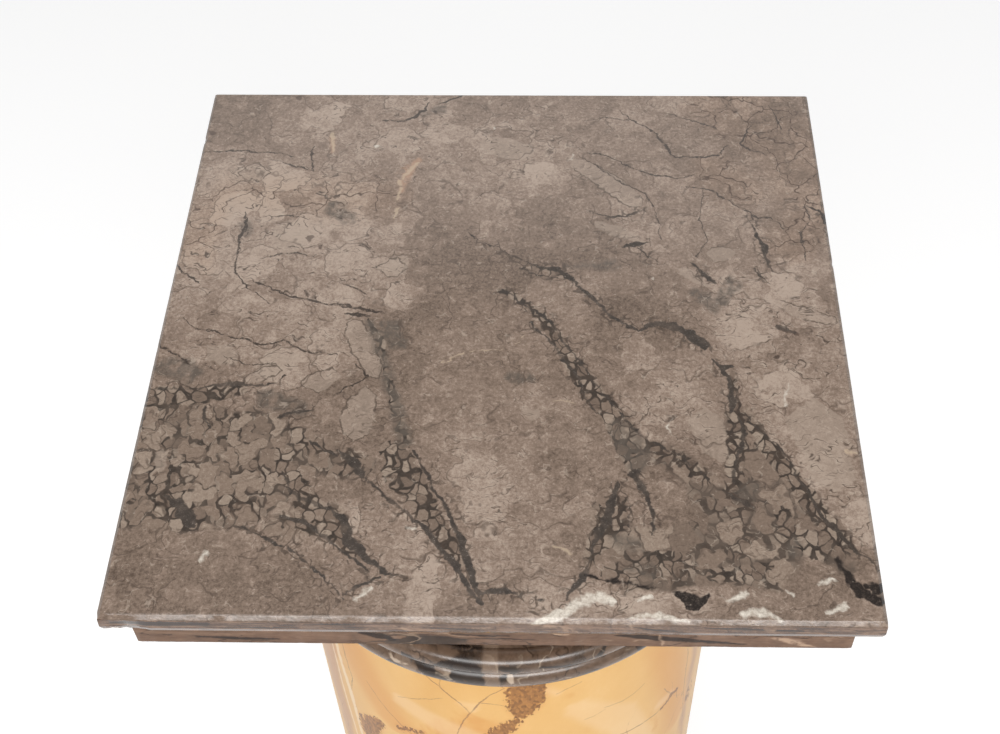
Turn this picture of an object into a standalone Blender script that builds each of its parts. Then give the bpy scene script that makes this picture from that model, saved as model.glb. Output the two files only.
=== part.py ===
"""A marble column with a straight shaft of yellow marble. The capital, the abacus and the top slab
above it, and the base and the plinth below it, are of brown breccia marble. Metres, +Z up. The origin
is the middle of the underside, and the front faces -Y."""

import math

import bmesh
import bpy

COLUMN_HEIGHT = 1.100
JOINT = 0.0003  # the bed joint between two pieces
SIDES = 72  # around a turned piece
ARC_STEP = 22.5  # degrees of a moulding's arc between two points

# Shaft: its height is what the other pieces leave
SHAFT_RADIUS = 0.125

# Reeds, the half-round mouldings next to the shaft on the capital and the base
REED_RADIUS = 0.0068
REED_GAP = 0.0005  # flat groove between two reeds
REED_CENTRE = 0.0017  # beyond the shaft's face
CAPITAL_REEDS = 2

# Capital, from its top down
CAPITAL_SPREAD = 0.025  # beyond the shaft's face
CAPITAL_FASCIA = 0.0075
OVOLO_SETBACK = 0.002
OVOLO_HEIGHT = 0.024
OVOLO_DEPTH = 0.020
COLLAR_SETBACK = 0.002
COLLAR_HEIGHT = 0.005
NECK_INSET = 0.0025  # inside the shaft's face
NECK_HEIGHT = 0.0383

# Abacus and top slab
ABACUS_HEIGHT = 0.026
ABACUS_MARGIN = 0.011  # beyond the capital
ABACUS_EASE = 0.001
SLAB_HEIGHT = 0.012
SLAB_OVERHANG = 0.009  # beyond the abacus
SLAB_CHAMFER = 0.002
SLAB_EASE = 0.001

# Base, from its foot up
BASE_SPREAD = 0.036  # beyond the shaft's face
TORUS_RADIUS = 0.022
TORUS_FILLET = 0.006
TORUS_FILLET_SETBACK = 0.013
SCOTIA_HEIGHT = 0.020
SCOTIA_SETBACK = 0.0015
UPPER_FILLET = 0.005
UPPER_FILLET_SPREAD = 0.0035  # beyond the shaft's face

# Plinth
PLINTH_HEIGHT = 0.050
PLINTH_MARGIN = 0.009  # beyond the base
PLINTH_EASE = 0.0015

CAPITAL_RADIUS = SHAFT_RADIUS + CAPITAL_SPREAD
ABACUS_WIDTH = 2 * (CAPITAL_RADIUS + ABACUS_MARGIN)
SLAB_WIDTH = ABACUS_WIDTH + 2 * SLAB_OVERHANG
BASE_RADIUS = SHAFT_RADIUS + BASE_SPREAD
PLINTH_WIDTH = 2 * (BASE_RADIUS + PLINTH_MARGIN)
REED_CENTRE_RADIUS = SHAFT_RADIUS + REED_CENTRE

BRECCIA = ("breccia_marble", (0.27, 0.21, 0.165, 1.0), 0.25)
DARK_BRECCIA = ("dark_breccia_marble", (0.20, 0.165, 0.14, 1.0), 0.22)
SIENA = ("siena_marble", (0.76, 0.48, 0.22, 1.0), 0.20)


def clear_scene():
    for old in list(bpy.data.objects):
        bpy.data.objects.remove(old, do_unlink=True)


def marble(name, colour, roughness):
    """A polished stone, shared by the pieces cut from it."""
    made = bpy.data.materials.get(name)
    if made is None:
        made = bpy.data.materials.new(name)
        made.use_nodes = True
        shader = made.node_tree.nodes["Principled BSDF"]
        shader.inputs["Base Color"].default_value = colour
        shader.inputs["Roughness"].default_value = roughness
        shader.inputs["Metallic"].default_value = 0.0
    return made


def place(piece, foot, stone, column):
    """Stands a piece, modelled with its foot at zero, at its height in the column."""
    piece.data.materials.append(marble(*stone))
    piece.location.z = foot
    piece.parent = column
    return piece


def arc(centre, radii, start, end):
    """Points of an arc in the profile's plane, from one angle to the other, in degrees."""
    steps = max(2, round(abs(end - start) / ARC_STEP))
    angles = [math.radians(start + (end - start) * i / steps) for i in range(steps + 1)]
    return [(centre[0] + radii[0] * math.cos(a), centre[1] + radii[1] * math.sin(a)) for a in angles]


def turned(name, profile, collection):
    """Turns a profile about +Z. It runs from the axis, down the outer side and back to the axis."""
    mesh = bpy.data.meshes.new(name + "_profile")
    points = [(radius, 0.0, height) for radius, height in profile]
    mesh.from_pydata(points, [(i, i + 1) for i in range(len(points) - 1)], [])
    piece = bpy.data.objects.new(name, mesh)
    collection.objects.link(piece)
    screw = piece.modifiers.new("Turn", "SCREW")
    screw.axis = "Z"
    screw.angle = math.tau
    screw.steps = SIDES
    screw.render_steps = SIDES
    screw.use_merge_vertices = True
    screw.merge_threshold = 0.00005
    bpy.context.view_layer.update()
    evaluated = piece.evaluated_get(bpy.context.evaluated_depsgraph_get())
    piece.data = bpy.data.meshes.new_from_object(evaluated)
    piece.data.name = name
    piece.modifiers.clear()
    bpy.data.meshes.remove(mesh)
    piece.data.shade_smooth()
    piece.data.set_sharp_from_angle(angle=math.radians(35))
    return piece


def slab(name, width, height, top_cut, bottom_cut, collection):
    """A square slab with its foot at zero. Its upper and lower edges are cut off by these widths."""
    bm = bmesh.new()
    bmesh.ops.create_cube(bm, size=1.0)
    bmesh.ops.scale(bm, vec=(width, width, height), verts=bm.verts)
    bmesh.ops.translate(bm, vec=(0.0, 0.0, height / 2), verts=bm.verts)
    for cut, level in ((top_cut, height), (bottom_cut, 0.0)):
        rim = [e for e in bm.edges if all(abs(v.co.z - level) < height / 100 for v in e.verts)]
        bmesh.ops.bevel(bm, geom=rim, offset=cut, segments=1, profile=0.5, affect="EDGES", material=-1)
    mesh = bpy.data.meshes.new(name)
    bm.to_mesh(mesh)
    bm.free()
    piece = bpy.data.objects.new(name, mesh)
    collection.objects.link(piece)
    return piece


def capital_profile():
    """Fascia, ovolo, collar, cove, neck and reeds. Returns the profile and its height."""
    reed_pitch = 2 * REED_RADIUS + REED_GAP
    reeds = CAPITAL_REEDS * reed_pitch - REED_GAP
    height = CAPITAL_FASCIA + OVOLO_HEIGHT + COLLAR_HEIGHT + NECK_HEIGHT + reeds
    neck = SHAFT_RADIUS - NECK_INSET
    ovolo_top = height - CAPITAL_FASCIA
    ovolo_foot = CAPITAL_RADIUS - OVOLO_SETBACK - OVOLO_DEPTH
    collar = ovolo_foot - COLLAR_SETBACK
    collar_foot = ovolo_top - OVOLO_HEIGHT - COLLAR_HEIGHT
    cove = collar - neck
    reed_start = 180 - math.degrees(math.acos(min(1.0, (REED_CENTRE_RADIUS - neck) / REED_RADIUS)))
    points = [(0.0, height), (CAPITAL_RADIUS, height), (CAPITAL_RADIUS, ovolo_top)]
    points += arc((ovolo_foot, ovolo_top), (OVOLO_DEPTH, OVOLO_HEIGHT), 0, -90)
    points += [(collar, ovolo_top - OVOLO_HEIGHT)]
    points += arc((collar, collar_foot - cove), (cove, cove), 90, 180)
    for reed in range(CAPITAL_REEDS):
        centre = (REED_CENTRE_RADIUS, reeds - REED_RADIUS - reed * reed_pitch)
        start = reed_start if reed == 0 else 90
        points += arc(centre, (REED_RADIUS, REED_RADIUS), start, -90)
    return points + [(0.0, 0.0)], height


def base_profile():
    """Reed, fillet, scotia, fillet and torus. Returns the profile and its height."""
    torus_centre = BASE_RADIUS - TORUS_RADIUS
    lower_fillet = BASE_RADIUS - TORUS_FILLET_SETBACK
    torus_start = math.degrees(math.acos((lower_fillet - torus_centre) / TORUS_RADIUS))
    torus_top = TORUS_RADIUS * (1 + math.sin(math.radians(torus_start)))
    fillet_top = torus_top + TORUS_FILLET
    scotia_top = fillet_top + SCOTIA_HEIGHT
    reed_foot = scotia_top + UPPER_FILLET
    height = reed_foot + 2 * REED_RADIUS
    upper_fillet = SHAFT_RADIUS + UPPER_FILLET_SPREAD
    scotia_foot = lower_fillet - SCOTIA_SETBACK
    points = [(0.0, height)]
    points += arc((REED_CENTRE_RADIUS, reed_foot + REED_RADIUS), (REED_RADIUS, REED_RADIUS), 90, -90)
    points += [(upper_fillet, reed_foot)]
    points += arc((scotia_foot, scotia_top), (scotia_foot - upper_fillet, SCOTIA_HEIGHT), 180, 270)
    points += [(lower_fillet, fillet_top)]
    points += arc((torus_centre, TORUS_RADIUS), (TORUS_RADIUS, TORUS_RADIUS), torus_start, -90)
    return points + [(0.0, 0.0)], height


def build():
    clear_scene()
    collection = bpy.data.collections.new("marble_column")
    bpy.context.scene.collection.children.link(collection)
    column = bpy.data.objects.new("column", None)
    collection.objects.link(column)

    slab_foot = COLUMN_HEIGHT - SLAB_HEIGHT
    abacus_foot = slab_foot - JOINT - ABACUS_HEIGHT
    capital_points, capital_height = capital_profile()
    capital_foot = abacus_foot - JOINT - capital_height
    base_points, base_height = base_profile()
    base_foot = PLINTH_HEIGHT + JOINT
    shaft_foot = base_foot + base_height + JOINT
    shaft_height = capital_foot - JOINT - shaft_foot
    shaft_points = [(0.0, shaft_height), (SHAFT_RADIUS, shaft_height), (SHAFT_RADIUS, 0.0), (0.0, 0.0)]

    top_slab = slab("top_slab", SLAB_WIDTH, SLAB_HEIGHT, SLAB_CHAMFER, SLAB_EASE, collection)
    abacus = slab("abacus", ABACUS_WIDTH, ABACUS_HEIGHT, ABACUS_EASE, ABACUS_EASE, collection)
    plinth = slab("plinth", PLINTH_WIDTH, PLINTH_HEIGHT, PLINTH_EASE, PLINTH_EASE, collection)
    place(top_slab, slab_foot, BRECCIA, column)
    place(abacus, abacus_foot, BRECCIA, column)
    place(turned("capital", capital_points, collection), capital_foot, DARK_BRECCIA, column)
    place(turned("shaft", shaft_points, collection), shaft_foot, SIENA, column)
    place(turned("base", base_points, collection), base_foot, DARK_BRECCIA, column)
    place(plinth, 0.0, BRECCIA, column)


build()
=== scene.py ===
"""Looks of the marble column: worn stones, marble and studio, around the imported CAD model."""
import math

import bmesh
import bpy
from mathutils import Matrix, Vector, noise


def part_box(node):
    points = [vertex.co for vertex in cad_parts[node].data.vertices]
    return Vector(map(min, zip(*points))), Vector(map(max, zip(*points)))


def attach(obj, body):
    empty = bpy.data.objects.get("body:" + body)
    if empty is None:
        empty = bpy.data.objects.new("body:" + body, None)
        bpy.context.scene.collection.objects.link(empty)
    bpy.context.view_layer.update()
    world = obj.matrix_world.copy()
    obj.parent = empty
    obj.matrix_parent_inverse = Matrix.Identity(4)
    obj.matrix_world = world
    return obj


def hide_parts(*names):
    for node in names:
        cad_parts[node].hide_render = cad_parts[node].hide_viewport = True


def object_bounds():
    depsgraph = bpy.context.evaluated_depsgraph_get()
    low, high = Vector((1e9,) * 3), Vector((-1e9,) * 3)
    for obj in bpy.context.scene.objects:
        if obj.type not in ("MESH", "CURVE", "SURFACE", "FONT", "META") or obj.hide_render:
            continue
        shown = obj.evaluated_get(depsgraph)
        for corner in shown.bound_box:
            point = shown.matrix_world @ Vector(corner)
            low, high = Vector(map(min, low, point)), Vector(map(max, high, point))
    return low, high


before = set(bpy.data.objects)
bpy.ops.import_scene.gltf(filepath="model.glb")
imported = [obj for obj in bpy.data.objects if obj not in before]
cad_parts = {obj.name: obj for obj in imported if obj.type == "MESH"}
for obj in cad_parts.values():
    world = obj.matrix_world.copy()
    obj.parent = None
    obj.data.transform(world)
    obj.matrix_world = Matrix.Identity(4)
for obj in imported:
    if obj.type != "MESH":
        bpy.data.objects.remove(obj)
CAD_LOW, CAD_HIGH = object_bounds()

MM = 0.001

# Veins, in mm: how far sideways a ramp reaches, the half width past a vein's end, and what may share
SPAN = 512.0
OUTSIDE = -0.3 * SPAN
MOST_SLANT = 1.8
RAMP_STOPS = 32
SHORTEST = 5.0
WIDEST = 20.0
TRACK_GAP = 3.0
EIGHTH_TURN = math.pi / 4

# Camera, solved from the top slab's corners and the shaft's outlines
CAMERA_PLACE = Vector((0.02793, -0.47169, 1.65276))
CAMERA_DOWN = math.radians(51.187)
CAMERA_TURN = math.radians(1.575)
CAMERA_ROLL = math.radians(-0.874)
CAMERA_LENS = 52.311
CAMERA_SHIFT = (-0.0320, -0.0058)

# Worn edges of the square stones
ARRIS = 0.3 * MM
ROUND_STEPS = 3
WORN_ZONE = 6 * MM
WEAR_REACH = 0.7 * MM
SHARP_ANGLE = math.radians(35)
EDGE_STEPS = 300
SLAB_CHAMFER = 2.0 * MM
SLAB_LOWER_EASE = (0.9 * MM, 3.4 * MM)
BLOCK_EASE = 0.8 * MM
PLINTH_EASE = 1.5 * MM

# Turned stones
SIDES = 224
ARC_POINTS = 14
SHAFT_RADIUS = 0.125
REED_RADIUS = 0.0068
REED_GAP = 0.0005
REED_CENTRE_RADIUS = SHAFT_RADIUS + 0.0017


def display(red, green, blue):
    """A colour as a screen shows it, from 0 to 255, in the linear values that a shader takes."""
    def linear(value):
        value /= 255.0
        return value / 12.92 if value <= 0.04045 else ((value + 0.055) / 1.055) ** 2.4
    return (linear(red), linear(green), linear(blue), 1.0)


class Wire:
    """A node's output that takes part in arithmetic. Each operator adds one Math node."""

    def __init__(self, graph, socket):
        self.graph = graph
        self.socket = socket

    def math(self, operation, *values):
        return self.graph.node("ShaderNodeMath", {"operation": operation}, dict(enumerate(values)))

    def __add__(self, other):
        return self.math("ADD", self, other)

    def __radd__(self, other):
        return self.math("ADD", other, self)

    def __sub__(self, other):
        return self.math("SUBTRACT", self, other)

    def __rsub__(self, other):
        return self.math("SUBTRACT", other, self)

    def __mul__(self, other):
        return self.math("MULTIPLY", self, other)

    def __rmul__(self, other):
        return self.math("MULTIPLY", other, self)

    def __abs__(self):
        return self.math("ABSOLUTE", self)

    def other(self, name):
        """Another output of the same node."""
        return Wire(self.graph, self.socket.node.outputs[name])

    def least(self, other):
        return self.math("MINIMUM", self, other)

    def most(self, other):
        return self.math("MAXIMUM", self, other)


class Graph:
    """A node tree, and the patterns that the marbles are made of. Lengths are in mm."""

    def __init__(self, tree, dimensions="3D"):
        self.tree = tree
        self.dimensions = dimensions

    def node(self, kind, settings, inputs, output=0):
        """Adds a node. A Wire or another socket is linked, and anything else is the socket's value."""
        made = self.tree.nodes.new(kind)
        for key, value in settings.items():
            if key == "stops":
                self.set_stops(made.color_ramp, value)
            else:
                setattr(made, key, value)
        for key, value in inputs.items():
            if isinstance(value, Wire):
                self.tree.links.new(value.socket, made.inputs[key])
            else:
                made.inputs[key].default_value = value
        return Wire(self, made.outputs[output]) if made.outputs else None

    @staticmethod
    def set_stops(ramp, stops):
        """Stops as pairs of position and colour. The first is at 0 and the last at 1."""
        ramp.elements[0].color = stops[0][1]
        ramp.elements[-1].color = stops[-1][1]
        for position, colour in stops[1:-1]:
            ramp.elements.new(position).color = colour

    def vector(self, operation, *values, scale=None, output=0):
        inputs = dict(enumerate(values))
        if scale is not None:
            inputs["Scale"] = scale
        return self.node("ShaderNodeVectorMath", {"operation": operation}, inputs, output)

    def place(self, x, y, z=1.0):
        return self.node("ShaderNodeCombineXYZ", {}, {0: x, 1: y, 2: z})

    def axis(self, point, direction):
        """How far a point lies along a direction."""
        return self.vector("DOT_PRODUCT", point, direction, output="Value")

    def step(self, value, low, high):
        """0 at low and 1 at high, with a soft change between. High may be the lower one."""
        settings = {"interpolation_type": "SMOOTHSTEP"}
        inputs = {"Value": value, "From Min": low, "From Max": high, "To Min": 0.0, "To Max": 1.0}
        return self.node("ShaderNodeMapRange", settings, inputs)

    def mix(self, factor, first, second, blend="MIX"):
        settings = {"data_type": "RGBA", "blend_type": blend, "clamp_factor": True}
        return self.node("ShaderNodeMix", settings, {0: factor, 6: first, 7: second}, 2)

    def ramp(self, value, stops):
        return self.node("ShaderNodeValToRGB", {"stops": stops}, {0: value})

    def noise(self, point, size, detail=2.0, roughness=0.5, output=0):
        inputs = {"Vector": point, "Scale": 1.0 / size, "Detail": detail, "Roughness": roughness}
        return self.node("ShaderNodeTexNoise", {"noise_dimensions": self.dimensions}, inputs, output)

    def warp(self, point, size, strength, detail=2.0, depth=1.0):
        """The point, pushed about by a noise of this size and strength. Depth is the share of it in z."""
        push = self.noise(point, size, detail, 0.55, "Color")
        reach = Vector((strength, strength, strength * depth))
        return self.vector("MULTIPLY_ADD", push, reach, self.vector("SUBTRACT", point, reach / 2))

    def cells(self, point, size, feature="DISTANCE_TO_EDGE"):
        inputs = {"Vector": point, "Scale": 1.0 / size}
        settings = {"voronoi_dimensions": self.dimensions, "feature": feature}
        return self.node("ShaderNodeTexVoronoi", settings, inputs, "Distance")

    def chance(self, cells):
        """A random value for each cell, from 0 to 1."""
        return self.node("ShaderNodeSeparateColor", {}, {0: cells.other("Color")})

    def threads(self, value, width):
        """1 on the lines where a noise crosses its middle, 0 away from them."""
        return self.step(abs(value - 0.5), width, 0.0)

    def spot(self, point, stop):
        """How far a point lies outside one round spot, in SPANs, plus 0.5."""
        gap = self.vector("DISTANCE", point, Vector((stop[0], stop[1], 1.0)), output="Value")
        return gap.math("MULTIPLY_ADD", gap, 1 / SPAN, 0.5 - stop[2] / SPAN)

    def track(self, point, along, line):
        """How far a point lies outside the veins of one track, in SPANs, plus 0.5.

        A colour ramp along the track holds the sideways place in red, the half width in green and
        1 in blue. An output of a separate node that nothing uses fills the shader's memory, so blue
        is used too. The point's z is 1, so that one dot product turns and shifts it.
        """
        start, length = line[0][0], line[-1][0] - line[0][0]
        middle = (min(v for u, v, half in line) + max(v for u, v, half in line)) / 2
        stops = [((u - start) / length, (0.5 + (v - middle) / SPAN, 0.5 - half / SPAN, 1.0, 1.0))
                 for u, v, half in line]
        row = self.axis(point, (along.x / length, along.y / length, -start / length))
        ramp = self.node("ShaderNodeSeparateColor", {}, {0: self.ramp(row, stops)})
        side = self.axis(point, (-along.y / SPAN, along.x / SPAN, 0.5 - middle / SPAN))
        gap = abs(side - ramp)
        return gap.math("MULTIPLY_ADD", gap, ramp.other("Blue"), ramp.other("Green"))

    def group(self, inputs, draw):
        """A group node around what draw makes, so that a large material is quick to build."""
        tree = bpy.data.node_groups.new("veins", "ShaderNodeTree")
        tree.interface.new_socket("Point", in_out="INPUT", socket_type="NodeSocketVector")
        tree.interface.new_socket("Gap", in_out="OUTPUT", socket_type="NodeSocketFloat")
        inner = Graph(tree)
        gap = draw(inner, inner.node("NodeGroupInput", {}, {}))
        inner.node("NodeGroupOutput", {}, {0: gap})
        return self.node("ShaderNodeGroup", {"node_tree": tree}, {0: inputs})

    def routes(self, point, many):
        """How far in mm a point lies outside the nearest of these veins."""
        def draw(graph, place):
            nearest = None
            for along, line in tracks(many):
                gap = graph.group(place, lambda inner, spot: inner.track(spot, along, line)
                                  if along else inner.spot(spot, line[0]))
                nearest = nearest.least(gap) if nearest else gap
            return nearest.math("MULTIPLY_ADD", nearest, SPAN, -SPAN / 2)
        return self.group(point, draw)


def traced(stops, along):
    """A vein's places along and across a direction and its half widths, with both ends drawn out."""
    across = Vector((-along.y, along.x))
    line = [(Vector(stop[:2]).dot(along), Vector(stop[:2]).dot(across), stop[2]) for stop in stops]
    if line[0][0] > line[-1][0]:
        line.reverse()
    points = []
    for index, (u, v, half) in enumerate(line):
        before, after = line[max(index - 1, 0)], line[min(index + 1, len(line) - 1)]
        slant = math.hypot(1.0, (after[1] - before[1]) / (after[0] - before[0]))
        points.append((u, v, half * min(slant, MOST_SLANT)))

    def tip(point, side):
        u, v, half = point
        taper = 0.5 + 0.8 * half
        return [(u + side * taper, v, 0.0), (u + side * (taper + 0.6), v, OUTSIDE)]

    return tip(points[0], -1)[::-1] + points + tip(points[-1], 1)


def tracks(many):
    """Veins sorted into tracks, each with its direction, so that one colour ramp holds several.

    A track runs in one of four directions. Short, wide and crooked veins have one of their own.
    """
    found, shared = [], {}
    for numbers in many:
        stops = [numbers[i:i + 3] for i in range(0, len(numbers), 3)]
        if len(stops) == 1:
            found.append((None, stops))
            continue
        own = Vector(stops[-1][:2]) - Vector(stops[0][:2])
        turn = round(math.atan2(own.y, own.x) / EIGHTH_TURN) % 4
        along = Vector((math.cos(turn * EIGHTH_TURN), math.sin(turn * EIGHTH_TURN)))
        across = Vector((-along.y, along.x))
        legs = [Vector(after[:2]) - Vector(before[:2]) for before, after in zip(stops, stops[1:])]
        forward = 1 if own.dot(along) > 0 else -1
        steady = all(leg.dot(along) * forward > abs(leg.dot(across)) * 0.5 for leg in legs)
        if steady and own.length > SHORTEST and max(stop[2] for stop in stops) < WIDEST:
            shared.setdefault(turn, (along, []))[1].append(traced(stops, along))
        else:
            found.append((own.normalized(), traced(stops, own.normalized())))
    for along, lines in shared.values():
        rows = []
        for line in sorted(lines):
            for row in rows:
                if row[-1][0] + TRACK_GAP < line[0][0] and len(row) + len(line) <= RAMP_STOPS:
                    row.extend(line)
                    break
            else:
                rows.append(line)
        found += [(along, row) for row in rows]
    return found


class Stone(Graph):
    """A stone's material."""

    def __init__(self, name, dimensions="3D"):
        self.material = bpy.data.materials.new(name)
        self.material.use_nodes = True
        super().__init__(self.material.node_tree, dimensions)
        self.shader = self.tree.nodes["Principled BSDF"]
        self.colour = None
        coordinates = self.node("ShaderNodeTexCoord", {}, {}, "Object")
        self.here = self.vector("SCALE", coordinates, scale=1 / MM)

    def around(self):
        """The distance round the shaft from the front, in mm, to the right."""
        x, y = self.axis(self.here, (1.0, 0.0, 0.0)), self.axis(self.here, (0.0, -1.0, 0.0))
        return x.math("ARCTAN2", x, y) * (SHAFT_RADIUS / MM)

    def height(self):
        """The height in mm above the column's top, which is less than 0 on the stone."""
        return self.axis(self.here, (0.0, 0.0, 1.0)) - CAD_HIGH.z / MM

    def paint(self, factor, colour, blend="MIX"):
        """Lays a colour over what is there."""
        self.colour = self.mix(factor, self.colour, colour, blend)

    def finish(self, roughness, height, relief, gloss):
        """Joins the painted colour, the roughness and the height in mm to the shader."""
        self.shader.inputs["Specular IOR Level"].default_value = gloss
        self.tree.links.new(self.colour.socket, self.shader.inputs["Base Color"])
        self.tree.links.new(roughness.socket, self.shader.inputs["Roughness"])
        bump = self.node("ShaderNodeBump", {}, {"Height": height, "Distance": relief, "Strength": 1.0})
        self.tree.links.new(bump.socket, self.shader.inputs["Normal"])
        return self.material


# Veins as x, y and half width in mm at one stop after another. The top slab's are seen from above
CRACKS = (
    (-22, 62, 0.2, -12, 53, 0.4, -2, 48, 0.5, 5, 43, 0.5, 12, 38, 0.7, 20, 34, 1.4, 28, 33, 1.8),
    (28, 33, 1.4, 34, 29, 1.4, 38, 23, 1.1, 44, 15, 1.4, 50, 8, 1.2, 56, 1, 1.1, 62, -4, 0.9),
    (62, -4, 0.8, 67, -9, 0.9, 72, -4, 1.5, 80, -2.5, 2.1, 87, -5, 2.4, 94, -11, 2.9, 101, -17, 2.4),
    (8, 34, 0.5, 14, 31, 0.7, 23, 29, 0.6, 31, 27, 0.5), (103, -25, 0.6, 108, -30, 2.6, 114, -29, 0.8),
    (108, -32, 1.6, 111, -38, 1.2, 112, -45, 1.4, 112, -52, 2.8, 110, -58, 0.8),
    (56, -99, 1.8, 53, -108, 2, 51, -118, 2.4, 48, -125, 2.2, 45, -133, 1.1, 42, -143, 1.1),
    (42, -143, 1.1, 40, -149, 1.6, 36, -154, 1.4, 33, -159, 0.7),
    (64, -92, 2.6, 67, -102, 1.8, 70, -110, 1.2, 72, -117, 1, 71, -126, 0.7),
    (60, -104, 0.3, 61, -115, 0.6, 60, -126, 0.4),
    (-97, -92, 0.8, -95, -103, 1.4, -89, -108, 1.5, -82, -110, 1.3, -74, -114, 1.2, -68, -120, 2),
    (-68, -120, 2.6, -64, -130, 3, -58, -136, 2.5, -52, -142, 1.6, -46, -147, 1, -38, -150, 0.4),
    (-96, -118, 1.4, -86, -121, 1.6, -78, -126, 1.2, -70, -133, 1, -62, -139, 1, -55, -145, 0.9),
    (-116, -122, 0.5, -106, -127, 0.6, -96, -132, 0.8, -88, -135, 0.7, -83, -141, 0.9, -76, -148, 0.7),
    (-76, -148, 0.7, -69, -154, 0.6, -64, -160, 0.3), (-64, -158, 0.5, -58, -153, 0.8, -50, -149, 1),
    (-150, -107, 1, -144, -111, 3.2, -139, -117, 4.2, -136, -122, 2.4),
    (-74, -82, 1, -67, -86, 3, -62, -95, 2.6),
    (-172, -44, 0.4, -162, -46, 0.7, -150, -46, 0.4, -140, -44, 0.8, -131, -43, 1.9, -124, -42, 1.4),
    (-124, -42, 0.9, -114, -44, 0.6, -107, -42, 0.4, -104, -37, 0.4),
    (-140, -56, 0.4, -139, -63, 1.2, -136, -69, 0.5), (-104, -63, 0.5, -95, -59, 1.3, -88, -57, 0.4),
    (-90, -74, 0.4, -82, -80, 0.8, -75, -84, 1.1),
    (-60, -97, 0.7, -50, -106, 0.9, -42, -114, 1, -34, -121, 1.3, -27, -129, 1.8, -21, -137, 1.9),
    (-21, -137, 1.9, -15, -145, 1.9, -9, -154, 1.4, -5, -161, 1.4),
    (-39, -82, 0.9, -33, -92, 0.9, -28, -102, 0.8, -21, -113, 0.9, -17, -123, 1.5, -13, -134, 2.2),
    (-13, -134, 2.2, -9, -146, 1.9, -5, -157, 1.5),
    (-5, -156, 1.6, 1, -156, 2.2, 7, -155, 1.2, 14, -157, 0.7, 22, -160, 0.4),
    (24, -2, 0.6, 34, -19, 0.9, 44, -37, 0.7, 54, -51, 0.8, 60, -62, 0.8, 69, -74, 0.5),
    (15, -2, 0.7, 23, -13, 0.9, 35, -33, 1, 41, -46, 0.8, 46, -58, 0.6),
    (-2, 20, 0.5, 7, 14, 0.9, 13, 8, 1, 21, 2, 1.2, 24, -2, 1.2),
    (69, -74, 0.5, 80, -80, 0.5, 87, -85, 0.6, 94, -91, 0.6, 98, -99, 0.5),
    (118, -58, 0.4, 121, -66, 0.7, 128, -74, 0.6, 134, -82, 0.7, 138, -92, 0.9, 142, -102, 1),
    (142, -102, 1, 146, -112, 1.2, 151, -121, 2, 157, -129, 1.8, 164, -136, 1.1, 170, -141, 0.7),
    (114, -60, 1, 116, -70, 1, 112, -82, 1.4, 109, -92, 1, 108, -99, 0.6),
    (106, -103, 0.9, 112, -107, 2.2, 117, -112, 1), (62, 49, 0.8, 68, 51.5, 1.7, 75, 53, 0.5),
    (69, 49, 0.8, 74, 43, 0.8, 79, 39, 0.4), (54, 71.5, 0.4, 62, 72, 0.9, 70, 75, 0.9, 75, 79, 0.3),
    (96, 38, 0.4, 103, 30, 1.3, 109, 25, 0.8), (129, 35, 0.4, 132, 29, 1.2, 135, 24, 0.3),
    (131, 73, 0.4, 132, 62, 0.7, 135, 49, 1.8, 136, 42, 1.3, 138, 33, 0.4),
    (160, 81, 0.6, 166, 77, 1, 169, 69, 0.9, 171, 62, 0.4), (137, -4, 1.2, 141, -5, 2, 146, -9, 0.9),
)
BLACKS = (
    (152, -138, 1.5, 155, -147, 2.4, 160, -154, 2.8, 167, -159, 3),
    (162, -151, 0.8, 167, -153, 3.6, 171, -152, 2),
    (80, -154, 0.8, 85, -159, 3.2, 90, -161, 3.8, 94, -156, 1.2),
    (41, -147, 0.5, 50, -149.5, 0.8, 58, -151, 0.9, 66, -153, 0.7, 71, -152, 0.3),
)
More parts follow.
